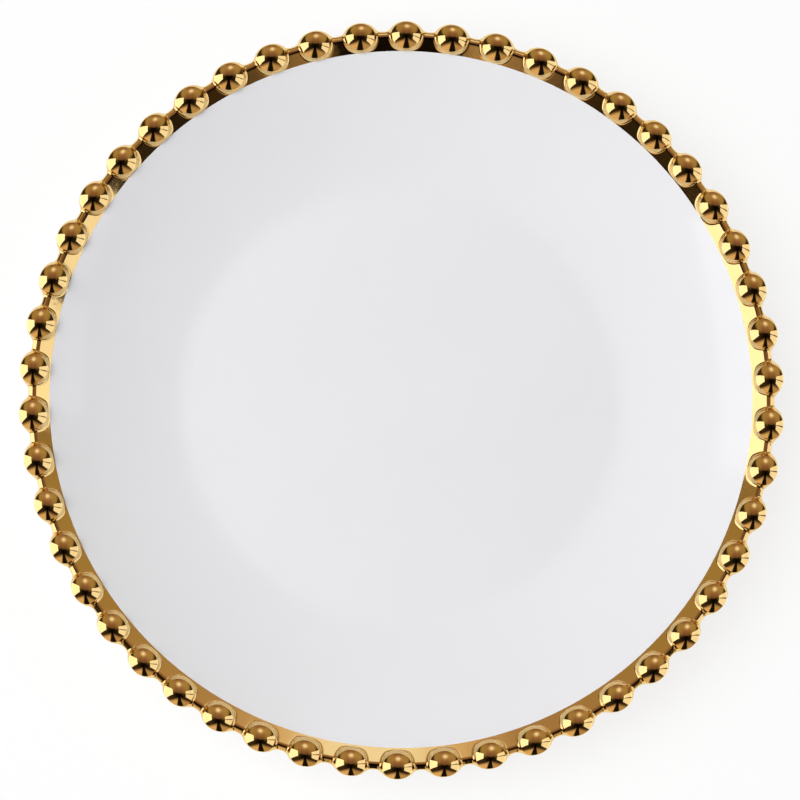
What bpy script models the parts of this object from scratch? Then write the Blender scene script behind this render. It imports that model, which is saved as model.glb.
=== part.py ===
"""Snack plate with a beaded, gilded rim, as separate solids.

The dish is turned porcelain: a flat well, a curved wall, and a straight rim that ends in a
full-round lip. A foot ring is luted into a groove under the well, a gold coat wraps the rim,
and a ring of beads sits astride the lip. Metres, +Z up; the foot stands on z = 0.
"""

import math

import bmesh
import bpy
from mathutils import Matrix, Vector

MM = 0.001

# Driving dimensions of the dish
OVERALL_DIAMETER = 210.0 * MM  # over two opposite beads
WELL_DIAMETER = 117.0 * MM  # flat floor, inside the curve that leads up to the wall
WELL_CURVE_RADIUS = 28.0 * MM
WALL_SLOPE = math.radians(11.0)  # of the wall where it leaves the well
RIM_SLOPE = math.radians(24.0)  # of the straight rim
SHELL_THICKNESS = 3.5 * MM  # floor, wall and rim alike

# Driving dimensions of the gilding
GILT_FACE_WIDTH = 4.1 * MM  # from the lip to the white edge on the face
GILT_BACK_WIDTH = 3.0 * MM  # from the lip to the gold edge on the back
GILT_THICKNESS = 0.4 * MM
RIM_MARGIN = 1.0 * MM  # straight rim left inside the wider of the two gold edges

# Driving dimensions of the beads
BEAD_COUNT = 50
BEAD_LENGTH = 9.8 * MM  # round the plate
BEAD_WIDTH = 8.6 * MM  # across the rim
BEAD_HEIGHT = 6.8 * MM  # square to the rim
BEAD_OVERHANG = 0.25 * MM  # from the centre of the lip out along the rim to the centre of a bead
BEAD_LIFT = 0.45 * MM  # and off the middle of the rim towards its face

# Driving dimensions of the foot
FOOT_HEIGHT = 3.0 * MM  # from the table to the underside of the dish
FOOT_WIDTH = 4.5 * MM
FOOT_INSET = 2.5 * MM  # from the edge of the flat underside in to the foot
FOOT_ROUND = 1.0 * MM  # on both edges of the tread
FOOT_GROOVE = 0.8 * MM  # depth of the groove that takes the foot

# Clearances
GLAZE_GAP = 0.3 * MM  # the glaze between the body and the gold
SLIP_GAP = 0.3 * MM  # the luting slip in every other joint

# Facets
TURN_STEPS = 72
LIP_FACETS = 5
BEAD_MERIDIANS = 16
BEAD_PARALLELS = 8
SMOOTH_ANGLE = math.radians(32.0)


def bearing(angle):
    """A unit vector in the section plane, its angle measured from +r towards +z."""
    return Vector((math.cos(angle), math.sin(angle)))


def arc(centre, radius, start, end, facets):
    """The points of an arc from one angle to another, both ends included."""
    step = (end - start) / facets
    return [centre + radius * bearing(start + step * i) for i in range(facets + 1)]


# Section of the rim: u runs up and out along the rim, n stands square on its face
u = bearing(RIM_SLOPE)
n = bearing(RIM_SLOPE + math.pi / 2)
lip_radius = SHELL_THICKNESS / 2
bead_reach = math.hypot(BEAD_WIDTH / 2 * u.x, BEAD_HEIGHT / 2 * n.x)
bead_ring_radius = OVERALL_DIAMETER / 2 - bead_reach
bead_offset = BEAD_OVERHANG * u + BEAD_LIFT * n
straight_width = max(GILT_FACE_WIDTH, GILT_BACK_WIDTH) + RIM_MARGIN

# Section of the wall: the slopes and the radii at its two ends fix its curve and its rise
well_radius = WELL_DIAMETER / 2
well_height = FOOT_HEIGHT + SHELL_THICKNESS
lip_reach = bead_ring_radius - bead_offset.x
wall_end_reach = lip_reach + lip_radius * n.x - straight_width * u.x
curve_centre = Vector((well_radius, well_height + WELL_CURVE_RADIUS))
wall_start = curve_centre + WELL_CURVE_RADIUS * bearing(WALL_SLOPE - math.pi / 2)
wall_radius = (wall_end_reach - wall_start.x) / (math.sin(RIM_SLOPE) - math.sin(WALL_SLOPE))
wall_centre = wall_start - wall_radius * bearing(WALL_SLOPE - math.pi / 2)
wall_end = wall_centre + wall_radius * bearing(RIM_SLOPE - math.pi / 2)
lip_centre = wall_end + straight_width * u - lip_radius * n
bead_centre = lip_centre + bead_offset

# Section of the foot
foot_outer = well_radius - FOOT_INSET
foot_inner = foot_outer - FOOT_WIDTH
foot_top = FOOT_HEIGHT + FOOT_GROOVE - SLIP_GAP


def bowl_curve(depth):
    """The floor curve and the wall, from the well outwards, at a depth below the face."""
    inner = arc(
        curve_centre, WELL_CURVE_RADIUS + depth, -math.pi / 2, WALL_SLOPE - math.pi / 2, 2
    )
    outer = arc(
        wall_centre, wall_radius + depth, WALL_SLOPE - math.pi / 2, RIM_SLOPE - math.pi / 2, 4
    )
    return inner + outer[1:]


def rim_outline(radius, face_width, back_width):
    """The rim at one radius about the lip centre: along the face, round the lip, along the back."""
    turn = arc(
        lip_centre, radius, RIM_SLOPE + math.pi / 2, RIM_SLOPE - math.pi / 2, LIP_FACETS
    )
    return [turn[0] - face_width * u, *turn, turn[-1] - back_width * u]


def dish_section():
    """From the middle of the well over the rim and back under the dish to its axis."""
    face_edge = lip_centre + lip_radius * n - GILT_FACE_WIDTH * u
    back_edge = lip_centre - lip_radius * n - GILT_BACK_WIDTH * u
    core = rim_outline(lip_radius - GILT_THICKNESS - GLAZE_GAP, GILT_FACE_WIDTH, GILT_BACK_WIDTH)
    groove = [
        Vector((foot_outer + SLIP_GAP, FOOT_HEIGHT)),
        Vector((foot_outer + SLIP_GAP, FOOT_HEIGHT + FOOT_GROOVE)),
        Vector((foot_inner - SLIP_GAP, FOOT_HEIGHT + FOOT_GROOVE)),
        Vector((foot_inner - SLIP_GAP, FOOT_HEIGHT)),
    ]
    face = [Vector((0.0, well_height)), *bowl_curve(0.0), face_edge]
    back = [back_edge, *reversed(bowl_curve(SHELL_THICKNESS)), *groove]
    return [*face, *core, *back, Vector((0.0, FOOT_HEIGHT))]


def coat_section():
    """A closed loop: out over the gold surface, then back along the side that faces the glaze."""
    face_width = GILT_FACE_WIDTH - GLAZE_GAP
    back_width = GILT_BACK_WIDTH - GLAZE_GAP
    outside = rim_outline(lip_radius, face_width, back_width)
    inside = rim_outline(lip_radius - GILT_THICKNESS, face_width, back_width)
    return [*outside, *reversed(inside)]


def foot_section():
    """A closed loop, down the outer side, across the rounded tread and up the inner side."""
    outer_round = arc(
        Vector((foot_outer - FOOT_ROUND, FOOT_ROUND)), FOOT_ROUND, 0.0, -math.pi / 2, 2
    )
    inner_round = arc(
        Vector((foot_inner + FOOT_ROUND, FOOT_ROUND)), FOOT_ROUND, -math.pi / 2, -math.pi, 2
    )
    return [
        Vector((foot_outer, foot_top)),
        *outer_round,
        *inner_round,
        Vector((foot_inner, foot_top)),
    ]


def material(name, colour, roughness, metallic):
    made = bpy.data.materials.new(name)
    made.use_nodes = True
    shader = made.node_tree.nodes["Principled BSDF"]
    shader.inputs["Base Color"].default_value = (*colour, 1.0)
    shader.inputs["Roughness"].default_value = roughness
    shader.inputs["Metallic"].default_value = metallic
    return made


def add_object(name, mesh):
    made = bpy.data.objects.new(name, mesh)
    bpy.context.scene.collection.objects.link(made)
    return made


def baked(helper, name, finish):
    """The helper's shape with its modifiers worked out, as a mesh with its finish and shading."""
    graph = bpy.context.evaluated_depsgraph_get()
    mesh = bpy.data.meshes.new_from_object(helper.evaluated_get(graph))
    mesh.name = name
    mesh.materials.clear()
    mesh.materials.append(finish)
    mesh.polygons.foreach_set("use_smooth", [True] * len(mesh.polygons))
    mesh.set_sharp_from_angle(angle=SMOOTH_ANGLE)
    bpy.data.objects.remove(helper)
    return mesh


def turned(name, section, closed, finish):
    """A section turned once round the Z axis."""
    count = len(section)
    edges = [(i, i + 1) for i in range(count - 1)]
    if closed:
        edges.append((count - 1, 0))
    profile = bpy.data.meshes.new("profile")
    profile.from_pydata([(point.x, 0.0, point.y) for point in section], edges, [])
    helper = add_object("profile", profile)
    screw = helper.modifiers.new("turn", "SCREW")
    screw.axis = "Z"
    screw.angle = math.tau
    screw.steps = TURN_STEPS
    screw.render_steps = TURN_STEPS
    screw.use_merge_vertices = True
    screw.merge_threshold = 0.01 * MM
    add_object(name, baked(helper, name, finish))


def slot_cutter():
    """A straight bar of the rim's outline with the slip gap added, seen from a bead's centre."""
    outline = rim_outline(lip_radius + SLIP_GAP, BEAD_WIDTH, BEAD_WIDTH)
    shape = bmesh.new()
    ring = []
    for point in outline:
        place = point - bead_centre
        ring.append(shape.verts.new((place.x, -BEAD_LENGTH, place.y)))
    end = shape.faces.new(ring)
    bar = bmesh.ops.extrude_face_region(shape, geom=[end])
    moved = [item for item in bar["geom"] if isinstance(item, bmesh.types.BMVert)]
    bmesh.ops.translate(shape, verts=moved, vec=(0.0, 2 * BEAD_LENGTH, 0.0))
    bmesh.ops.recalc_face_normals(shape, faces=shape.faces)
    mesh = bpy.data.meshes.new("slot_cutter")
    shape.to_mesh(mesh)
    shape.free()
    cutter = add_object("slot_cutter", mesh)
    cutter.hide_render = True
    cutter.display_type = "WIRE"
    return cutter


def slotted_bead(finish):
    """The mesh of one bead: a flattened ball with its poles along the rim, slotted to sit astride it."""
    shape = bmesh.new()
    bmesh.ops.create_uvsphere(
        shape, u_segments=BEAD_MERIDIANS, v_segments=BEAD_PARALLELS, radius=0.5
    )
    bmesh.ops.rotate(shape, verts=shape.verts, matrix=Matrix.Rotation(math.pi / 2, 3, "X"))
    bmesh.ops.scale(shape, verts=shape.verts, vec=(BEAD_WIDTH, BEAD_LENGTH, BEAD_HEIGHT))
    bmesh.ops.rotate(shape, verts=shape.verts, matrix=Matrix.Rotation(-RIM_SLOPE, 3, "Y"))
    mesh = bpy.data.meshes.new("ball")
    shape.to_mesh(mesh)
    shape.free()
    ball = add_object("ball", mesh)
    cutter = slot_cutter()
    cut = ball.modifiers.new("slot", "BOOLEAN")
    cut.operation = "DIFFERENCE"
    cut.solver = "EXACT"
    cut.object = cutter
    bead = baked(ball, "bead", finish)
    bpy.data.objects.remove(cutter)
    return bead


for old in list(bpy.data.objects):
    bpy.data.objects.remove(old)

porcelain = material("glazed_porcelain", (0.80, 0.80, 0.81), 0.12, 0.0)
biscuit = material("bare_porcelain", (0.70, 0.68, 0.63), 0.70, 0.0)
gold = material("gold_lustre", (0.80, 0.56, 0.20), 0.12, 1.0)

turned("porcelain_dish", dish_section(), False, porcelain)
turned("foot_ring", foot_section(), True, biscuit)
turned("gilt_rim_coat", coat_section(), True, gold)

# The first bead stands on the +Y axis, and the rest follow it anticlockwise
bead = slotted_bead(gold)
for index in range(BEAD_COUNT):
    angle = math.pi / 2 + index * math.tau / BEAD_COUNT
    place = bead_ring_radius * bearing(angle)
    one = add_object(f"bead_{index + 1:02d}", bead)
    one.location = (place.x, place.y, bead_centre.y)
    one.rotation_euler = (0.0, 0.0, angle)
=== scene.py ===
# %% [markdown]
# # A snack plate with a beaded gold rim
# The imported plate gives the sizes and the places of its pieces: a porcelain dish, a foot ring,
# a gold coat on the rim and fifty beads. Here the same pieces get the surfaces that the eye
# sees. A plate leaves the kiln with no sharp joint on its face, because glaze fills every
# corner, so the beads and the rim become one flowing surface: white up to a circle, gold from
# there on.

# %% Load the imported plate
import math

import bpy
import numpy as np
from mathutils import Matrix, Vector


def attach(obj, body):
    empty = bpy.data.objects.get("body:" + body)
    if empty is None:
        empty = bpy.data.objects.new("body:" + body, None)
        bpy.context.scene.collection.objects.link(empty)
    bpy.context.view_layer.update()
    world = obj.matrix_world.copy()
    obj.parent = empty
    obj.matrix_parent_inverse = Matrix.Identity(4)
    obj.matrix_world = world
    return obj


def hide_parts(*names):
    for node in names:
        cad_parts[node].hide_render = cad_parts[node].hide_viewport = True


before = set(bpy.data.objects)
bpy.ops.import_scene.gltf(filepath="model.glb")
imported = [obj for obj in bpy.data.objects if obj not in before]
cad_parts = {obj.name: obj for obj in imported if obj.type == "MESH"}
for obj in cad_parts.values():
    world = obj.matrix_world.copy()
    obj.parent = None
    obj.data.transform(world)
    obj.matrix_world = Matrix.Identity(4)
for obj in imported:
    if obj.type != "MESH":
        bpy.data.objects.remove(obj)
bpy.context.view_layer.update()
beads = sorted(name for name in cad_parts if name.startswith("bead_"))

# %% [markdown]
# ## The section of the plate
# Everything on a plate comes from one section, the cut from its middle to its edge. A section
# could be drawn as a curve object by hand, but numbers are easier to check against the packed
# model. A point of the section is one complex number, with the radius as its real part and the
# height as its imaginary part, so that an arc is a centre plus a radius times a turning unit.

# %% Sizes of the section, in millimetres
MM = 0.001
DOWN = -math.pi / 2
FOOT_HEIGHT, SHELL = 3.0, 3.5
WELL_RADIUS, WELL_CURVE = 58.5, 28.0
WALL_SLOPE, RIM_SLOPE = math.radians(11.0), math.radians(24.0)
# The lip's centre, half the rim's thickness, and the straight stretch of rim inside the lip.
LIP_REACH, LIP_ROUND, STRAIGHT_RIM = 100.79, SHELL / 2, 5.1


def turning(angle):
    """A unit step in the section: cosine of the angle outwards, sine of it upwards."""
    return np.exp(1j * np.asarray(angle))


along_rim, off_rim = turning(RIM_SLOPE), turning(RIM_SLOPE - DOWN)
well_top = FOOT_HEIGHT + SHELL
curve_centre = complex(WELL_RADIUS, well_top + WELL_CURVE)
wall_start = curve_centre + WELL_CURVE * turning(WALL_SLOPE + DOWN)
wall_end_reach = LIP_REACH + (LIP_ROUND * off_rim - STRAIGHT_RIM * along_rim).real
wall_curve = (wall_end_reach - wall_start.real) / (math.sin(RIM_SLOPE) - math.sin(WALL_SLOPE))
wall_centre = wall_start - wall_curve * turning(WALL_SLOPE + DOWN)
wall_end = wall_centre + wall_curve * turning(RIM_SLOPE + DOWN)
lip_centre = wall_end + STRAIGHT_RIM * along_rim - LIP_ROUND * off_rim
print("lip centre at radius", round(lip_centre.real, 2), "and height", round(lip_centre.imag, 2))

# %% [markdown]
# ## The surface of rim and beads
# Each bead is a low dome pressed onto the lip. Its sides turn down steeply to an oval outline
# and turn under below the lip, as the mould leaves them, and glaze runs into the corner round
# it. Separate balls on a ring would leave hard creases. A soft union has none: the distance to
# the rim and the distance to each bead are mixed by a smooth minimum, which rounds off the
# crease wherever the two are close. A point of the surface starts on the middle line inside the
# rim and moves straight out, over the face, round the lip or under the back, until the mixed
# distance is zero.

# %% Distances
TINY = 1e-9  # keeps a division from failing in the middle of an oval


def soft_minimum(one, other, width):
    """The smaller distance, less a quarter of the width times the square of their closeness.

    The closeness is one where the two are equal, and nought where they differ by the width.
    """
    closeness = np.maximum(width - np.abs(one - other), 0) / width
    return np.minimum(one, other) - width * closeness**2 / 4


def oval_distance(*axes):
    """Distance to an ellipse or ellipsoid from a point's parts along its axes, each with its half.

    The point's size in units of the halves, less one, is divided by how steeply it grows there.
    """
    size = np.sqrt(sum((part / half) ** 2 for part, half in axes))
    growth = np.sqrt(sum((part / half**2) ** 2 for part, half in axes))
    return size * (size - 1) / np.maximum(growth, TINY)


# An oval with halves of 3 and 2, tried inside its end, on it and outside it.
tried = [round(float(oval_distance((part, 3.0), (0.0, 2.0))), 2) for part in (2.0, 3.0, 4.0)]
print("distances to an oval's end:", tried)

# %% Distance to a bead
BEADS = len(beads)
PITCH = math.tau / BEADS
# Halves of the dome along the rim, across it and above it, and how far it goes on below.
DOME_LENGTH, DOME_WIDTH, DOME_HEIGHT, DOME_DEPTH = 5.45, 5.05, 4.37, 2.25
DOME_SINK = 0.62  # of the dome's middle below the rim's middle line
# Halves of the oval outline from above, and how softly the dome turns down to it.
OVAL_LENGTH, OVAL_WIDTH, OVAL_CORNER = 5.1, 4.03, 0.09
# Halves of the skirt where it meets the rim, how far out its middle lies, and its soft edge.
SKIRT_LENGTH, SKIRT_WIDTH, SKIRT_OUT, SKIRT_CORNER = 4.5, 4.9, 0.9, 0.25
SKIRT_SLOPE = math.radians(56.0)
# Below this height over the lip's centre the sides turn under, on a curve of this radius.
BELLY_TOP, BELLY_ROUND = 1.2, 2.2
dome_centre = lip_centre - DOME_SINK * off_rim


def bead_distance(place, swing):
    """Distance from a section point, swung this far round from a bead, to that bead's surface.

    The bead is what an ellipsoid square to the rim, an upright oval wall and a sloping oval skirt
    have in common, so its distance is the softly largest of the three. Under the belly's top the
    wall draws in by the square of the depth over twice the belly's radius.
    """
    round_plate, outward = place.real * np.sin(swing), place.real * np.cos(swing)
    local = (outward + 1j * place.imag - dome_centre) / along_rim
    height = np.where(local.imag > 0, DOME_HEIGHT, DOME_DEPTH)
    dome = oval_distance((round_plate, DOME_LENGTH), (local.real, DOME_WIDTH), (local.imag, height))
    wall = oval_distance((round_plate, OVAL_LENGTH), (outward - lip_centre.real, OVAL_WIDTH))
    sunk = np.minimum(place.imag - lip_centre.imag - BELLY_TOP, 0)
    wall = wall + sunk**2 / (2 * BELLY_ROUND)
    skirt = oval_distance((round_plate, SKIRT_LENGTH), (local.real - SKIRT_OUT, SKIRT_WIDTH))
    above_rim = local.imag - DOME_SINK - LIP_ROUND
    skirt = skirt * math.sin(SKIRT_SLOPE) + above_rim * math.cos(SKIRT_SLOPE)
    return -soft_minimum(soft_minimum(-dome, -wall, OVAL_CORNER), -skirt, SKIRT_CORNER)


print(BEADS, "beads,", round(PITCH * lip_centre.real, 2), "mm apart along the lip")

# %% The soft union
LIP_EDGE, LIP_CORNER = 1.5, 0.08  # the lip's outer side stands upright this far out
# The glaze fills the corner round a bead most below the lip, and least on the face.
BLEND_HEADINGS, BLENDS = np.radians([-10.0, 25.0]), [1.45, 0.45]
LINE_REACH, HALVINGS = 9.0, 40  # a line ends outside every bead


def rim_surface(along, heading, swing, film):
    """Section points on the soft union of rim and beads, a film's thickness above it.

    A line starts on the rim's middle line, this far along from the lip's centre, and leaves at
    a heading from the rim's slope. Inside the straight rim the middle line bends with the wall.
    Halving the line again and again finds where the mixed distance equals the film.
    """
    bend = np.maximum(-STRAIGHT_RIM - along, 0) / (wall_curve + LIP_ROUND)
    middle_line = lip_centre + np.maximum(along, -STRAIGHT_RIM) * along_rim
    middle_line = middle_line - (wall_curve + LIP_ROUND) * off_rim * (turning(-bend) - 1)
    step = turning(RIM_SLOPE + heading - bend)
    blend = np.interp(heading, BLEND_HEADINGS, BLENDS)
    near, far = np.zeros(along.shape), np.full(along.shape, LINE_REACH)
    for _ in range(HALVINGS):
        trial = (near + far) / 2
        place = middle_line + trial * step
        upright = lip_centre.real + LIP_EDGE - place.real
        mixed = -soft_minimum(LIP_ROUND - trial, upright, LIP_CORNER)
        for neighbour in (0, 1, -1):
            to_bead = bead_distance(place, swing - neighbour * PITCH)
            mixed = soft_minimum(mixed, to_bead, blend)
        near, far = np.where(mixed < film, trial, near), np.where(mixed < film, far, trial)
    return middle_line + near * step


ahead = np.zeros(2)
reach = rim_surface(ahead, ahead, np.array([PITCH / 2, 0.0]), 0.0).real
print("radius", reach.round(2).tolist(), "mm straight out along the rim, between beads and on a bead")

# %% Columns round the plate
DENSITY_STEPS = 4001


def crowded(start, stop, count, spots, width, extra):
    """Numbers from start to stop that crowd near some spots: equal steps of a summed density."""
    steps = np.linspace(start, stop, DENSITY_STEPS)
    density = 1 + extra * sum(np.exp(-(((steps - spot) / width) ** 2)) for spot in spots)
    running = np.cumsum(density) - density[0]
    return np.interp(np.linspace(0, running[-1], count), running, steps)


PER_BEAD = 32
COLUMNS = BEADS * PER_BEAD
# Columns crowd together where a bead meets the rim, in shares of the pitch.
BEAD_ENDS, ENDS_WIDTH, ENDS_CROWD = (-0.36, 0.36), 0.07, 3.0
in_pitch = crowded(-0.5, 0.5, PER_BEAD + 1, BEAD_ENDS, ENDS_WIDTH, ENDS_CROWD)[:-1]
swing = np.tile(in_pitch, BEADS) * PITCH
column_number = np.arange(COLUMNS)
angles = math.pi / 2 + (column_number // PER_BEAD) * PITCH + swing
print(COLUMNS, "columns,", PER_BEAD, "to a bead")

# %% [markdown]
# ## From a grid of points to a mesh
# Every new piece here is a grid: rows run across the section and columns run round the plate.
# Blender could spin or screw a profile instead, but a grid lets each column differ, which the
# beads need. The quads come from whole arrays of corner numbers. The signed volume tells
# whether the faces point outwards, and if it is negative, every face is turned round.


# %% A ring of quads
def ring_quads(rows, columns, closed):
    """Quads between each row and the next and each column and the next, with columns wrapping."""
    row = np.arange(rows if closed else rows - 1)[:, None]
    column = np.arange(columns)[None, :]
    below, beside = (row + 1) % rows, (column + 1) % columns
    corners = [
        row * columns + column,
        below * columns + column,
        below * columns + beside,
        row * columns + beside,
    ]
    return np.stack(np.broadcast_arrays(*corners), axis=-1).reshape(-1, 4)


def around(section, angles):
    """Points in metres: each section point swung about the Z axis by its column's angle."""
    radius, height = section.real, section.imag
    points = [radius * np.cos(angles), radius * np.sin(angles), height + 0 * angles]
    return np.stack(np.broadcast_arrays(*points), axis=-1).reshape(-1, 3) * MM


print("a closed ring of 3 rows and 4 columns has", len(ring_quads(3, 4, True)), "quads")


# %% A piece from points and faces
SHARP_ANGLE = math.radians(75.0)  # an edge that turns more than this is shaded hard
CUBIC_CM = 1e6  # in a cubic metre


def signed_volume(points, triangles):
    """A sixth of the sum of each triangle's triple product, positive when the faces look out."""
    a, b, c = (points[triangles[:, i]] for i in range(3))
    return float(np.einsum("ij,ij->i", a, np.cross(b, c)).sum() / 6)


def add_piece(name, points, quads, fans=None):
    """A mesh object at the origin, smooth but for its sharp edges, its faces turned outwards."""
    extra = np.empty((0, 3), int) if fans is None else fans
    halves = np.concatenate([quads[:, [0, 1, 2]], quads[:, [0, 2, 3]], extra])
    volume = signed_volume(points, halves)
    if volume < 0:
        quads, extra = quads[:, ::-1], extra[:, ::-1]
    mesh = bpy.data.meshes.new(name)
    mesh.from_pydata(points.tolist(), [], quads.tolist() + extra.tolist())
    mesh.shade_smooth()
    mesh.set_sharp_from_angle(angle=SHARP_ANGLE)
    piece = bpy.data.objects.new(name, mesh)
    bpy.context.scene.collection.objects.link(piece)
    print(name, len(halves), "triangles,", round(abs(volume) * CUBIC_CM, 2), "cm3")
    return piece


# %% [markdown]
# ## The gilded rim
# Gold is painted over the glazed rim and fired. The film is far thinner than a hair. Here it
# stands 0.02 mm proud, enough to keep the two surfaces apart. Rows run from the white edge
# over the face, round the lip and along the back, and two rows inside the rim close the loop.
# A dome ends in a tight turn, and even rows would cut across it. So each column first finds its
# brow, the heading where the surface begins to fall steeply, and its rows crowd together there.

# %% The gold's edges
# The gold was banded by hand a little off centre, so it is wider towards -Y and +X.
GOLD_FACE, GOLD_BACK, WIDER_NEAR, WIDER_RIGHT = 3.9, 3.0, 0.38, 0.12
face_edge = GOLD_FACE - WIDER_NEAR * np.sin(angles) + WIDER_RIGHT * np.cos(angles)
back_edge = np.full(COLUMNS, GOLD_BACK)
print("gold", face_edge.min().round(2), "to", face_edge.max().round(2), "mm wide on the face")

# %% The brow
FILM = 0.02
BROW_FALL, BROW_TRIALS = math.radians(66.0), 400
# One bead's columns are enough to find the brow, because the beads are alike.
headings = np.linspace(-DOWN, DOWN, BROW_TRIALS)[:, None]
profile = rim_surface(np.zeros((BROW_TRIALS, PER_BEAD)), headings, in_pitch * PITCH, FILM)
fall = -np.angle(np.diff(profile, axis=0))
brow = np.tile(headings[np.argmax(fall > BROW_FALL, axis=0), 0], BEADS)
print("brow at", np.degrees(brow.min()).round(1), "to", np.degrees(brow.max()).round(1), "degrees")

# %% Gild the rim
FACE_ROWS, OVER_ROWS, UNDER_ROWS, BACK_ROWS = 24, 18, 12, 4
# Rows crowd at the inner feet of the beads, most of the way to the white edge, and at the brow.
INNER_FOOT, FOOT_SPREAD, FOOT_CROWD = (0.85,), 0.15, 2.0
AT_BROW, BROW_SPREAD, BROW_CROWD = (0.0,), 0.06, 12.0
CORE = 1.2  # half the thickness of the hidden rim inside the gold
from_edge = crowded(1.0, 0.0, FACE_ROWS + 1, INNER_FOOT, FOOT_SPREAD, FOOT_CROWD)[:-1, None]
above_brow = crowded(1.0, 0.0, OVER_ROWS, AT_BROW, BROW_SPREAD, BROW_CROWD)[:, None]
below_brow = crowded(0.0, 1.0, UNDER_ROWS + 1, AT_BROW, BROW_SPREAD, BROW_CROWD)[1:, None]
to_back = np.linspace(0, 1, BACK_ROWS + 1)[1:, None]
gold_along = np.concatenate([
    -face_edge * from_edge,
    np.zeros((OVER_ROWS + UNDER_ROWS, COLUMNS)),
    -back_edge * to_back,
])
gold_heading = np.concatenate([
    np.full((FACE_ROWS, COLUMNS), -DOWN),
    brow + (-DOWN - brow) * above_brow,
    brow + (DOWN - brow) * below_brow,
    np.full((BACK_ROWS, COLUMNS), DOWN),
])
tucks = lip_centre + np.stack([-back_edge, -face_edge]) * along_rim
tucks = tucks + np.array([[-CORE], [CORE]]) * off_rim
gold_section = np.concatenate([rim_surface(gold_along, gold_heading, swing, FILM), tucks])
gold_rows = len(gold_section)
rim = add_piece(
    "gilded_beaded_rim", around(gold_section, angles), ring_quads(gold_rows, COLUMNS, True)
)
print("gold reaches", round(float(gold_section.real.max()), 2), "mm from the axis")

# %% [markdown]
# ## The porcelain dish
# The real dish is pressed between a spinning mould and a shaped tool, so its back follows its
# face. Its rows run from the middle of the well up the wall. Near the rim they take the soft
# union's shape, because the feet of the beads reach past the gold. They dive under the gold
# at the white edge, come out on the back and return to the axis, stepping round the groove
# for the foot. A fan closes each end on the axis.


# %% Rows of the dish
def arc(centre, radius, start, stop, count):
    """Points on a circle from one angle to another: the centre plus radius times a turning unit."""
    return centre + radius * turning(np.linspace(start, stop, count))


FRINGE = 8.0  # the soft union's rows begin this far in from the lip
wall_stop = RIM_SLOPE - (FRINGE - STRAIGHT_RIM) / (wall_curve + LIP_ROUND)


def bowl(depth, curve_rows, wall_rows):
    """Two arcs at a depth below the face: the well's curve, and the wall up to the fringe."""
    curve = arc(curve_centre, WELL_CURVE + depth, DOWN, WALL_SLOPE + DOWN, curve_rows)
    wall = arc(wall_centre, wall_curve + depth, WALL_SLOPE + DOWN, wall_stop + DOWN, wall_rows)
    return np.concatenate([curve, wall[1:]])


def fringe(edge, heading, rows):
    """The soft union from the wall to the gold's edge, face or back, on evenly spaced lines."""
    share = np.linspace(0, 1, rows + 1)[1:, None]
    return rim_surface(-FRINGE + (FRINGE - edge) * share, np.full((rows, 1), heading), swing, 0.0)


face_bowl = bowl(0.0, curve_rows=6, wall_rows=8)
print("wall up to radius", face_bowl[-1].real.round(2), "and height", face_bowl[-1].imag.round(2))

# %% The dish from pole to pole
FOOT_OUTER, FOOT_WIDTH, FOOT_GROOVE, SLIP = 56.0, 4.5, 0.8, 0.3
GROOVE_BEVEL = 0.4
WELL_RADII, BASE_RADII = np.array([6.0, 40.0, 56.0]), np.array([30.0, 6.0])  # rows on the flats
CORE_ROWS = 4
groove_out, groove_in = FOOT_OUTER + SLIP, FOOT_OUTER - FOOT_WIDTH - SLIP
groove_top = FOOT_HEIGHT + FOOT_GROOVE
face = np.concatenate([WELL_RADII + 1j * well_top, face_bowl])
core = arc(lip_centre, CORE, RIM_SLOPE - DOWN, RIM_SLOPE + DOWN, CORE_ROWS)
underside = np.concatenate([
    bowl(SHELL, curve_rows=4, wall_rows=6)[::-1],
    [
        groove_out + GROOVE_BEVEL + 1j * FOOT_HEIGHT,
        groove_out + 1j * (FOOT_HEIGHT + GROOVE_BEVEL),
        groove_out + 1j * groove_top,
        groove_in + 1j * groove_top,
        groove_in + 1j * (FOOT_HEIGHT + GROOVE_BEVEL),
        groove_in - GROOVE_BEVEL + 1j * FOOT_HEIGHT,
    ],
    BASE_RADII + 1j * FOOT_HEIGHT,
])
all_columns = np.zeros(COLUMNS)  # added to a section, it repeats it in every column
dish_section = np.concatenate([
    face[:, None] + all_columns,
    fringe(face_edge, -DOWN, rows=9),
    tucks[1:],
    core[:, None] + all_columns,
    tucks[:1],
    fringe(back_edge, DOWN, rows=5)[::-1],
    underside[:, None] + all_columns,
])
dish_rows = len(dish_section)
print("dish rows", dish_rows)

# %% Close the dish on its axis
poles = np.array([[0, 0, well_top], [0, 0, FOOT_HEIGHT]]) * MM
next_number = (column_number + 1) % COLUMNS
last_row = (dish_rows - 1) * COLUMNS
top_pole = np.full(COLUMNS, dish_rows * COLUMNS)
fans = np.concatenate([
    np.stack([top_pole, column_number, next_number], axis=-1),
    np.stack([top_pole + 1, last_row + next_number, last_row + column_number], axis=-1),
])
dish = add_piece(
    "glazed_dish",
    np.concatenate([around(dish_section, angles), poles]),
    ring_quads(dish_rows, COLUMNS, False),
    fans,
)

# %% [markdown]
# ## The foot ring
# The potter leaves the foot bare, so that the plate doesn't stick to the kiln shelf, and grinds
# its tread flat. Its section is a small loop with two rounded edges, turned like the dish.

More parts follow.
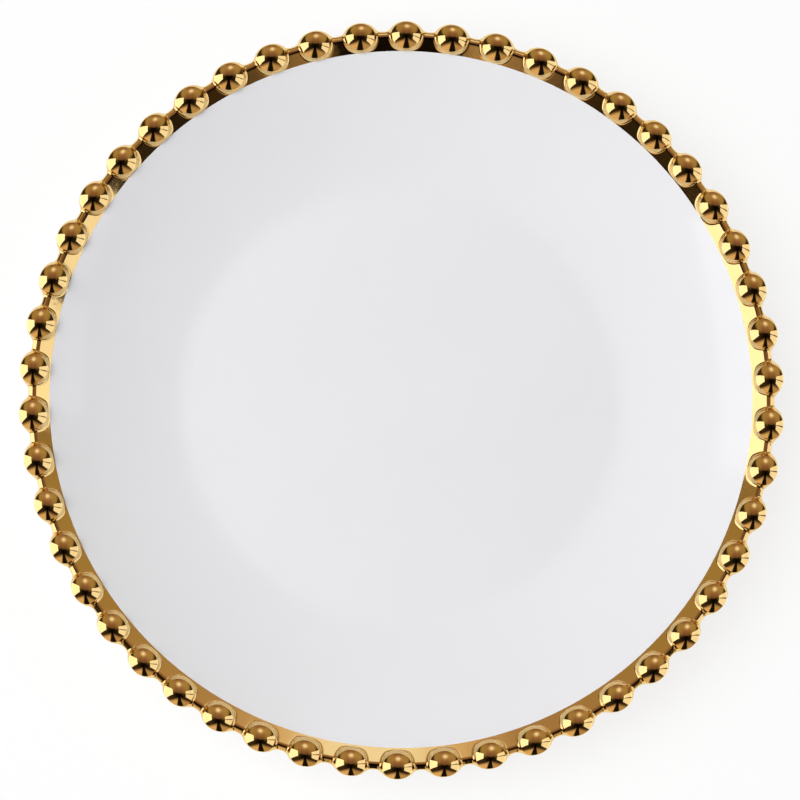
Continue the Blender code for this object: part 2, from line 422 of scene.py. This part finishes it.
# %% Turn the foot
FOOT_ROUND, ROUND_ROWS, FOOT_COLUMNS = 1.0, 9, 256
foot_inner = FOOT_OUTER - FOOT_WIDTH
foot_top = groove_top - SLIP
foot_section = np.concatenate([
    [FOOT_OUTER + 1j * foot_top],
    arc(FOOT_OUTER - FOOT_ROUND + 1j * FOOT_ROUND, FOOT_ROUND, 0.0, DOWN, ROUND_ROWS),
    arc(foot_inner + FOOT_ROUND + 1j * FOOT_ROUND, FOOT_ROUND, DOWN, 2 * DOWN, ROUND_ROWS),
    [foot_inner + 1j * foot_top],
])
turns = np.linspace(0, math.tau, FOOT_COLUMNS, endpoint=False)
foot = add_piece(
    "bare_foot_ring",
    around(foot_section[:, None], turns),
    ring_quads(len(foot_section), FOOT_COLUMNS, True),
)

# %% [markdown]
# ## Every piece on the plate's one body
# Nothing moves on a plate, so all pieces ride on the same body. Each one stands for
# its imported nodes, which stay behind for collision, hidden.

# %% Seat the pieces
for piece, nodes, slot in (
    (dish, ["porcelain_dish"], "glazed_porcelain"),
    (foot, ["foot_ring"], "bare_porcelain"),
    (rim, ["gilt_rim_coat", *beads], "gold_lustre"),
):
    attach(piece, "root")
    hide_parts(*nodes)
    print(piece.name, "stands for packed nodes:", len(nodes))


# %% [markdown]
# ## Colours and nodes
# Colours are written as they look on a screen, as hex, and one function turns them into the
# linear light that the shaders work in. One more function adds a node with its settings and
# its links.


# %% Colour and node helpers
def linear(hex_colour):
    """sRGB to linear: a straight line near black, and the power 2.4 above it."""
    part = np.array([int(hex_colour[i : i + 2], 16) / 255 for i in (0, 2, 4)])
    light = np.where(part <= 0.04045, part / 12.92, ((part + 0.055) / 1.055) ** 2.4)
    return (*light.tolist(), 1.0)


def per_metre(millimetres):
    """The scale of a pattern whose features are this big."""
    return 1000.0 / millimetres


def add_node(tree, kind, inputs=None, **settings):
    """One node: settings go on the node itself, inputs on its sockets, as values or as links."""
    node = tree.nodes.new(kind)
    for name, value in settings.items():
        setattr(node, name, value)
    for socket, value in (inputs or {}).items():
        if isinstance(value, bpy.types.NodeSocket):
            tree.links.new(value, node.inputs[socket])
        else:
            node.inputs[socket].default_value = value
    return node


def new_finish(name):
    """An empty material and its node tree."""
    finish = bpy.data.materials.new(name)
    finish.use_nodes = True
    finish.node_tree.nodes.clear()
    return finish, finish.node_tree


print("screen grey 808080 is", round(linear("808080")[0], 3), "of white in linear light")

# %% [markdown]
# ## Glazed porcelain
# White porcelain under a clear gloss glaze: a body that scatters nearly all light, and a
# glassy skin with an index near 1.5. The glaze isn't quite flat. It has a slow swell of a few
# millimetres from the melt, and it lies a trace thicker and cooler in places.

# %% Glaze
glaze, tree = new_finish("clear_glazed_porcelain")
place = add_node(tree, "ShaderNodeTexCoord").outputs["Object"]
pooling = add_node(
    tree, "ShaderNodeTexNoise", {"Vector": place, "Scale": per_metre(28.0), "Detail": 3.0}
)
white = add_node(
    tree,
    "ShaderNodeMix",
    {"Factor": pooling.outputs["Fac"], "A": linear("efeff1"), "B": linear("ebebef")},
    data_type="RGBA",
)
gloss = add_node(
    tree,
    "ShaderNodeMapRange",
    {"Value": pooling.outputs["Fac"], "To Min": 0.06, "To Max": 0.12},
)
swell = add_node(
    tree, "ShaderNodeTexNoise", {"Vector": place, "Scale": per_metre(7.0), "Detail": 2.0}
)
ripple = add_node(
    tree,
    "ShaderNodeBump",
    {"Height": swell.outputs["Fac"], "Strength": 0.15, "Distance": 0.04 * MM},
)
skin = add_node(
    tree,
    "ShaderNodeBsdfPrincipled",
    {
        "Base Color": white.outputs["Result"],
        "Roughness": gloss.outputs["Result"],
        "IOR": 1.5,
        "Normal": ripple.outputs["Normal"],
    },
)
add_node(tree, "ShaderNodeOutputMaterial", {"Surface": skin.outputs["BSDF"]})
dish.data.materials.append(glaze)
print(glaze.name, "with", len(tree.nodes), "nodes on", dish.name)

# %% [markdown]
# ## Bare porcelain
# The foot is the same body without glaze, ground on a wheel: a warmer white, dull, with a fine
# grit. The real grit is a few hundredths of a millimetre; it is drawn at 0.4 mm so that it shows.

# %% Foot
bare, tree = new_finish("ground_bare_porcelain")
place = add_node(tree, "ShaderNodeTexCoord").outputs["Object"]
grit = add_node(
    tree, "ShaderNodeTexNoise", {"Vector": place, "Scale": per_metre(0.4), "Detail": 4.0}
)
clouds = add_node(tree, "ShaderNodeTexNoise", {"Vector": place, "Scale": per_metre(9.0)})
tone = add_node(
    tree,
    "ShaderNodeMix",
    {"Factor": clouds.outputs["Fac"], "A": linear("e2ded3"), "B": linear("d3cdbf")},
    data_type="RGBA",
)
dull = add_node(
    tree, "ShaderNodeMapRange", {"Value": grit.outputs["Fac"], "To Min": 0.6, "To Max": 0.85}
)
rough = add_node(
    tree,
    "ShaderNodeBump",
    {"Height": grit.outputs["Fac"], "Strength": 0.4, "Distance": 0.1 * MM},
)
body = add_node(
    tree,
    "ShaderNodeBsdfPrincipled",
    {
        "Base Color": tone.outputs["Result"],
        "Roughness": dull.outputs["Result"],
        "Normal": rough.outputs["Normal"],
    },
)
add_node(tree, "ShaderNodeOutputMaterial", {"Surface": body.outputs["BSDF"]})
foot.data.materials.append(bare)
print(bare.name, "with", len(tree.nodes), "nodes on", foot.name)

# %% [markdown]
# ## Bright gold
# Liquid gold is painted over the glaze with the plate on a banding wheel and fired to a mirror.
# It keeps faint brush lines round the plate, and the glaze below gives it a slow swell. The
# lines have to follow the rim, so the mesh gets a map in metres: round the plate, and across
# the section. A face that joins the last row or column to the first would squeeze the whole
# map into itself, so its far corners count one row or column on. Real brush lines are near
# 0.1 mm; here they are 0.5 mm wide so that they show.

# %% A map that follows the rim
LAST_STRIP = 2.5  # millimetres across, from the last row back to the first
across = np.abs(np.diff(gold_section, axis=0)).mean(axis=1).cumsum()
across = np.concatenate([[0.0], across, [across[-1] + LAST_STRIP]]) * MM
way_round = np.append(angles - angles[0], math.tau) * lip_centre.real * MM
corners = np.empty(len(rim.data.loops), int)
rim.data.loops.foreach_get("vertex_index", corners)
corners = corners.reshape(-1, 4)


def unwrapped(numbers, count):
    """Row or column numbers of each face's corners, with 0 read as the count beside the last."""
    closes = (numbers == 0) & (numbers.max(axis=1, keepdims=True) == count - 1)
    return np.where(closes, count, numbers)


corner_row = unwrapped(corners // COLUMNS, gold_rows)
corner_column = unwrapped(corners % COLUMNS, COLUMNS)
corner_map = np.stack([way_round[corner_column], across[corner_row]], axis=-1)
rim_map = rim.data.uv_layers.new(name="rim_metres")
rim_map.data.foreach_set("uv", corner_map.ravel())
print("map runs", way_round[-1].round(3), "m round and", across[-1].round(4), "m across")

# %% Gold
DRAWN_OUT = 0.03  # a brush line is some thirty times as long as it is wide
gold, tree = new_finish("bright_gold_lustre")
rim_place = add_node(tree, "ShaderNodeUVMap", uv_map="rim_metres").outputs["UV"]
place = add_node(tree, "ShaderNodeTexCoord").outputs["Object"]
drawn = add_node(tree, "ShaderNodeMapping", {"Vector": rim_place, "Scale": (DRAWN_OUT, 1.0, 1.0)})
brush = add_node(
    tree,
    "ShaderNodeTexNoise",
    {"Vector": drawn.outputs["Vector"], "Scale": per_metre(0.5), "Detail": 3.0},
)
thickness = add_node(
    tree, "ShaderNodeTexNoise", {"Vector": place, "Scale": per_metre(6.0), "Detail": 2.0}
)
colour = add_node(
    tree,
    "ShaderNodeMix",
    {"Factor": thickness.outputs["Fac"], "A": linear("f4d394"), "B": linear("edcb88")},
    data_type="RGBA",
)
polish = add_node(
    tree, "ShaderNodeMapRange", {"Value": brush.outputs["Fac"], "To Min": 0.03, "To Max": 0.09}
)
lines = add_node(
    tree,
    "ShaderNodeBump",
    {"Height": brush.outputs["Fac"], "Strength": 0.12, "Distance": 0.02 * MM},
)
melt = add_node(
    tree, "ShaderNodeTexNoise", {"Vector": place, "Scale": per_metre(2.5), "Detail": 1.0}
)
swell = add_node(
    tree,
    "ShaderNodeBump",
    {
        "Height": melt.outputs["Fac"],
        "Strength": 0.25,
        "Distance": 0.04 * MM,
        "Normal": lines.outputs["Normal"],
    },
)
metal = add_node(
    tree,
    "ShaderNodeBsdfPrincipled",
    {
        "Base Color": colour.outputs["Result"],
        "Metallic": 1.0,
        "Roughness": polish.outputs["Result"],
        "Normal": swell.outputs["Normal"],
    },
)
add_node(tree, "ShaderNodeOutputMaterial", {"Surface": metal.outputs["BSDF"]})
rim.data.materials.append(gold)
print(gold.name, "with", len(tree.nodes), "nodes on", rim.name)

# %% [markdown]
# ## The table
# The plate lies on a plain white table. A white surface in even light renders a little under
# white, so the table glows for what looks straight at it, for the camera and for the mirror of
# the gold, and keeps a share of its own shading, so the plate's soft shadow stays.

# %% Table
TABLE_RADIUS, TABLE_CORNERS = 12.0, 96
GLOW_SHARE = 0.78
bpy.ops.mesh.primitive_circle_add(vertices=TABLE_CORNERS, radius=TABLE_RADIUS, fill_type="NGON")
floor = bpy.context.object
floor.name = "white_table"
paper, tree = new_finish("white_table")
path = add_node(tree, "ShaderNodeLightPath").outputs
mirrored = add_node(
    tree,
    "ShaderNodeMath",
    {0: path["Is Camera Ray"], 1: path["Is Glossy Ray"]},
    operation="MAXIMUM",
)
seen = add_node(
    tree,
    "ShaderNodeMath",
    {0: mirrored.outputs["Value"], 1: path["Is Transmission Ray"]},
    operation="MAXIMUM",
)
share = add_node(
    tree, "ShaderNodeMath", {0: seen.outputs["Value"], 1: GLOW_SHARE}, operation="MULTIPLY"
)
matt = add_node(tree, "ShaderNodeBsdfDiffuse", {"Color": linear("fafafa")})
glow = add_node(tree, "ShaderNodeEmission", {"Color": linear("ffffff"), "Strength": 1.0})
shaded = add_node(
    tree,
    "ShaderNodeMixShader",
    {0: share.outputs["Value"], 1: matt.outputs["BSDF"], 2: glow.outputs["Emission"]},
)
add_node(tree, "ShaderNodeOutputMaterial", {"Surface": shaded.outputs["Shader"]})
floor.data.materials.append(paper)
print("table", floor.dimensions[0], "m across")

# %% [markdown]
# ## Light
# Gold shows nothing of its own but what stands round it, so the studio is built from what the
# photograph's beads mirror: a tall soft box on each side, a brown wall behind the plate that
# turns golden towards its sides and has a lamp high on it, darkness overhead where the camera
# hangs, and a pale room in front, dark under the edge of its roof, with one dark gap in it.
# White paper stands low all round. A photograph of a room could be wrapped round the scene
# instead. A few angles are enough, and they can be changed. The world is painted in tilt: a
# direction becomes a flat point, as far from the middle as its angle from straight up, so the
# light on the wall is a set of rings round the lamp. Matt surfaces get an even white world.

# %% Directions in the studio
LEAST_LEVEL = 0.001  # keeps the division sound straight overhead
world = bpy.data.worlds.new("studio")
bpy.context.scene.world = world
world.use_nodes = True
tree = world.node_tree
tree.nodes.clear()
way = add_node(tree, "ShaderNodeTexCoord").outputs["Generated"]
rise = add_node(tree, "ShaderNodeSeparateXYZ", {"Vector": way}).outputs["Z"]
angle = add_node(tree, "ShaderNodeMath", {0: rise}, operation="ARCCOSINE").outputs["Value"]
level = add_node(tree, "ShaderNodeMath", {0: angle}, operation="SINE").outputs["Value"]
level = add_node(tree, "ShaderNodeMath", {0: level, 1: LEAST_LEVEL}, operation="MAXIMUM")
spread = add_node(
    tree, "ShaderNodeMath", {0: angle, 1: level.outputs["Value"]}, operation="DIVIDE"
)
stretched = add_node(
    tree, "ShaderNodeVectorMath", {0: way, "Scale": spread.outputs["Value"]}, operation="SCALE"
)
tilt = add_node(
    tree,
    "ShaderNodeVectorMath",
    {0: stretched.outputs["Vector"], 1: (1.0, 1.0, 0.0)},
    operation="MULTIPLY",
).outputs["Vector"]
tilt_part = add_node(tree, "ShaderNodeSeparateXYZ", {"Vector": tilt}).outputs
print("directions from", len(tree.nodes), "nodes")

# %% Beside the studio's middle, and in front
STUDIO_MIDDLE = math.radians(2.0)  # to the right of the plate's
off_middle = add_node(
    tree, "ShaderNodeMath", {0: tilt_part["X"], 1: STUDIO_MIDDLE}, operation="SUBTRACT"
)
beside = add_node(
    tree, "ShaderNodeMath", {0: off_middle.outputs["Value"]}, operation="ABSOLUTE"
).outputs["Value"]
forward = add_node(
    tree, "ShaderNodeMath", {0: tilt_part["Y"], 1: -1.0}, operation="MULTIPLY"
).outputs["Value"]
print("middle", round(math.degrees(STUDIO_MIDDLE), 1), "degrees to the right")

# %% The wall behind
LAMP_TILT = (math.radians(4.0), math.radians(50.0), 0.0)
SIDE_START, SIDE_STOP = math.radians(14.0), math.radians(40.0)
HALF_TURN = 180.0
# Rings of colour round the lamp, each at its distance in degrees.
WALL_RINGS = {
    "brown": [
        (5, "ffffff"),
        (11, "dcc6a6"),
        (18, "a88a6c"),
        (28, "94725a"),
        (38, "866450"),
        (46, "745643"),
        (49, "5f4838"),
        (51, "15110e"),
    ],
    "golden": [
        (14, "e8d8b4"),
        (22, "d0ba8a"),
        (34, "b29c68"),
        (48, "a89060"),
        (56, "8c784e"),
        (60, "3a3022"),
    ],
}
from_lamp = add_node(tree, "ShaderNodeVectorMath", {0: tilt, 1: LAMP_TILT}, operation="DISTANCE")
ring = add_node(
    tree, "ShaderNodeMapRange", {"Value": from_lamp.outputs["Value"], "From Max": math.pi}
)
painted = {}
for paint, stops in WALL_RINGS.items():
    ramp = add_node(tree, "ShaderNodeValToRGB", {"Fac": ring.outputs["Result"]})
    marks = ramp.color_ramp.elements  # a new ramp has two
    for index, (degrees, shade) in enumerate(stops):
        mark = marks[index] if index < 2 else marks.new(degrees / HALF_TURN)
        mark.position = degrees / HALF_TURN
        mark.color = linear(shade)
    painted[paint] = ramp.outputs["Color"]
    print(paint, "wall in", len(marks), "rings")
to_side = add_node(
    tree,
    "ShaderNodeMapRange",
    {"Value": beside, "From Min": SIDE_START, "From Max": SIDE_STOP},
)
back = add_node(
    tree,
    "ShaderNodeMix",
    {"Factor": to_side.outputs["Result"], "A": painted["brown"], "B": painted["golden"]},
    data_type="RGBA",
)

# %% The room in front
ROOF_SLANT = -0.35  # the roof's edge lies further forward towards the sides
ROOF_START, ROOF_STOP = math.radians(18.0), math.radians(20.0)
SHADE_START, SHADE_STOP = math.radians(22.0), math.radians(40.0)
ROOM_LEFT, ROOM_RIGHT = math.radians(-20.0), math.radians(20.0)
to_right = add_node(
    tree,
    "ShaderNodeMapRange",
    {"Value": tilt_part["X"], "From Min": ROOM_LEFT, "From Max": ROOM_RIGHT},
)
room_paint = add_node(
    tree,
    "ShaderNodeMix",
    {"Factor": to_right.outputs["Result"], "A": linear("e8c8a0"), "B": linear("bfa27c")},
    data_type="RGBA",
).outputs["Result"]
past_roof = add_node(
    tree, "ShaderNodeMath", {0: beside, 1: ROOF_SLANT, 2: forward}, operation="MULTIPLY_ADD"
).outputs["Value"]
out_of_shade = add_node(
    tree,
    "ShaderNodeMapRange",
    {"Value": past_roof, "From Min": SHADE_START, "From Max": SHADE_STOP},
)
front = add_node(
    tree,
    "ShaderNodeMix",
    {"Factor": out_of_shade.outputs["Result"], "A": linear("3a2c1e"), "B": room_paint},
    data_type="RGBA",
).outputs["Result"]
in_front = add_node(
    tree,
    "ShaderNodeMapRange",
    {"Value": past_roof, "From Min": ROOF_START, "From Max": ROOF_STOP},
)
walls = add_node(
    tree,
    "ShaderNodeMix",
    {"Factor": in_front.outputs["Result"], "A": back.outputs["Result"], "B": front},
    data_type="RGBA",
)
print("roof's edge", round(math.degrees(ROOF_STOP), 1), "degrees in front of straight up")

# %% The dark gap in front
GAP_START, GAP_STOP = math.radians(11.0), math.radians(16.0)
GAP_LIGHT = 0.015
aside = add_node(tree, "ShaderNodeMath", {0: beside, 1: forward}, operation="ARCTAN2")
gap = add_node(
    tree,
    "ShaderNodeMapRange",
    {
        "Value": aside.outputs["Value"],
        "From Min": GAP_START,
        "From Max": GAP_STOP,
        "To Min": GAP_LIGHT,
    },
    interpolation_type="SMOOTHSTEP",
)
room = add_node(
    tree,
    "ShaderNodeBackground",
    {"Color": walls.outputs["Result"], "Strength": gap.outputs["Result"]},
)
print("gap", round(2 * math.degrees(GAP_STOP), 1), "degrees wide")

# %% White paper round the table, and an even world for matt surfaces
PAPER_START, PAPER_STOP = math.radians(87.0), math.radians(88.0)
EVEN_LIGHT = 0.08
low = add_node(
    tree,
    "ShaderNodeMapRange",
    {"Value": angle, "From Min": PAPER_START, "From Max": PAPER_STOP},
)
paper_wall = add_node(tree, "ShaderNodeBackground", {"Color": linear("f4f4f4"), "Strength": 1.0})
studio = add_node(
    tree,
    "ShaderNodeMixShader",
    {0: low.outputs["Result"], 1: room.outputs["Background"], 2: paper_wall.outputs["Background"]},
)
even = add_node(tree, "ShaderNodeBackground", {"Color": linear("ffffff"), "Strength": EVEN_LIGHT})
path = add_node(tree, "ShaderNodeLightPath").outputs
around_plate = add_node(
    tree,
    "ShaderNodeMixShader",
    {0: path["Is Diffuse Ray"], 1: studio.outputs["Shader"], 2: even.outputs["Background"]},
)
add_node(tree, "ShaderNodeOutputWorld", {"Surface": around_plate.outputs["Shader"]})
print(world.name, "world with", len(tree.nodes), "nodes")

# %% [markdown]
# ## Soft boxes
# A soft box is a lamp behind a sheet of white cloth, and Blender's area light is the same thing.
# Its power spreads over its area, so what a mirror sees of it is set as a radiance, where 1 is
# as bright as white paper. The side boxes stand upright on the table. The right one has a bar
# down its frame, which each bead shows as a thin dark line, so it is two boxes with a gap. The
# one overhead only fills the white of the plate, and the gold doesn't mirror it.


# %% Soft boxes
def soft_box(name, place, facing, size, lean, radiance, mirrored):
    """A rectangle of light that looks at a point, leaning in its own plane.

    The power is pi times the radiance times the area.
    """
    lamp = bpy.data.lights.new(name, "AREA")
    lamp.shape = "RECTANGLE"
    lamp.size, lamp.size_y = size
    lamp.energy = math.pi * radiance * size[0] * size[1]
    light = bpy.data.objects.new(name, lamp)
    turn = (Vector(place) - Vector(facing)).to_track_quat("Z", "Y").to_matrix().to_4x4()
    light.matrix_world = Matrix.Translation(place) @ turn @ Matrix.Rotation(lean, 4, "Z")
    light.visible_glossy = mirrored
    bpy.context.scene.collection.objects.link(light)
    print(name, round(lamp.energy, 2), "W over", round(size[0] * size[1], 2), "m2")


# Places, the points that they face, and sizes are in metres.
LEAN = math.radians(6.0)
LEFT, RIGHT, FILL = 1.5, 1.06, 3.55  # radiance
soft_box("left_box", (-0.68, -0.02, 0.53), (0.0, -0.02, 0.53), (0.58, 1.06), LEAN, LEFT, True)
soft_box("right_box_near", (0.70, -0.27, 0.515), (0.0, -0.27, 0.515), (0.38, 1.02), 0.0, RIGHT, True)
soft_box("right_box_far", (0.70, 0.095, 0.515), (0.0, 0.095, 0.515), (0.24, 1.02), 0.0, RIGHT, True)
soft_box("overhead", (-0.93, 0.0, 2.0), (0.0, 0.0, 0.01), (2.0, 2.0), 0.0, FILL, False)

# %% [markdown]
# ## The camera
# The photograph was taken almost straight down with a long lens. The bead centres fixed the
# camera: seven degrees and three quarters off the vertical towards the near edge, a metre and
# a quarter away. The turn about the plate's own axis puts each bead where the photograph has it.

# %% Camera
TILT, ROLL, TWIST = math.radians(-7.74), math.radians(0.76), math.radians(0.69)
DISTANCE, ASIDE, UP = 1.2372, 0.00048, 0.00079
FOCAL_PIXELS, FRAME_PIXELS = 4508.0, 800.0
SENSOR_WIDTH = 36.0  # millimetres


def turn_about(axis, angle):
    """A rotation matrix about one axis: cosines on the diagonal, plus and minus sine beside them."""
    a, b = [(1, 2), (2, 0), (0, 1)][axis]
    turn = np.eye(3)
    turn[a, a] = turn[b, b] = math.cos(angle)
    turn[a, b], turn[b, a] = -math.sin(angle), math.sin(angle)
    return turn


look = turn_about(2, TWIST) @ (turn_about(0, TILT) @ turn_about(1, ROLL)).T
middle = np.array([0.0, 0.0, lip_centre.imag * MM])
pose = np.eye(4)
pose[:3, :3] = look
pose[:3, 3] = middle + look @ np.array([-ASIDE, -UP, DISTANCE])
lens = bpy.data.cameras.new("camera")
lens.sensor_width = SENSOR_WIDTH
lens.lens = SENSOR_WIDTH * FOCAL_PIXELS / FRAME_PIXELS
camera = bpy.data.objects.new("camera", lens)
camera.matrix_world = Matrix(pose.tolist())
bpy.context.scene.collection.objects.link(camera)
bpy.context.scene.camera = camera
bpy.context.scene.view_settings.view_transform = "Standard"
print("camera at", np.round(pose[:3, 3], 4).tolist(), "with a", round(lens.lens, 1), "mm lens")
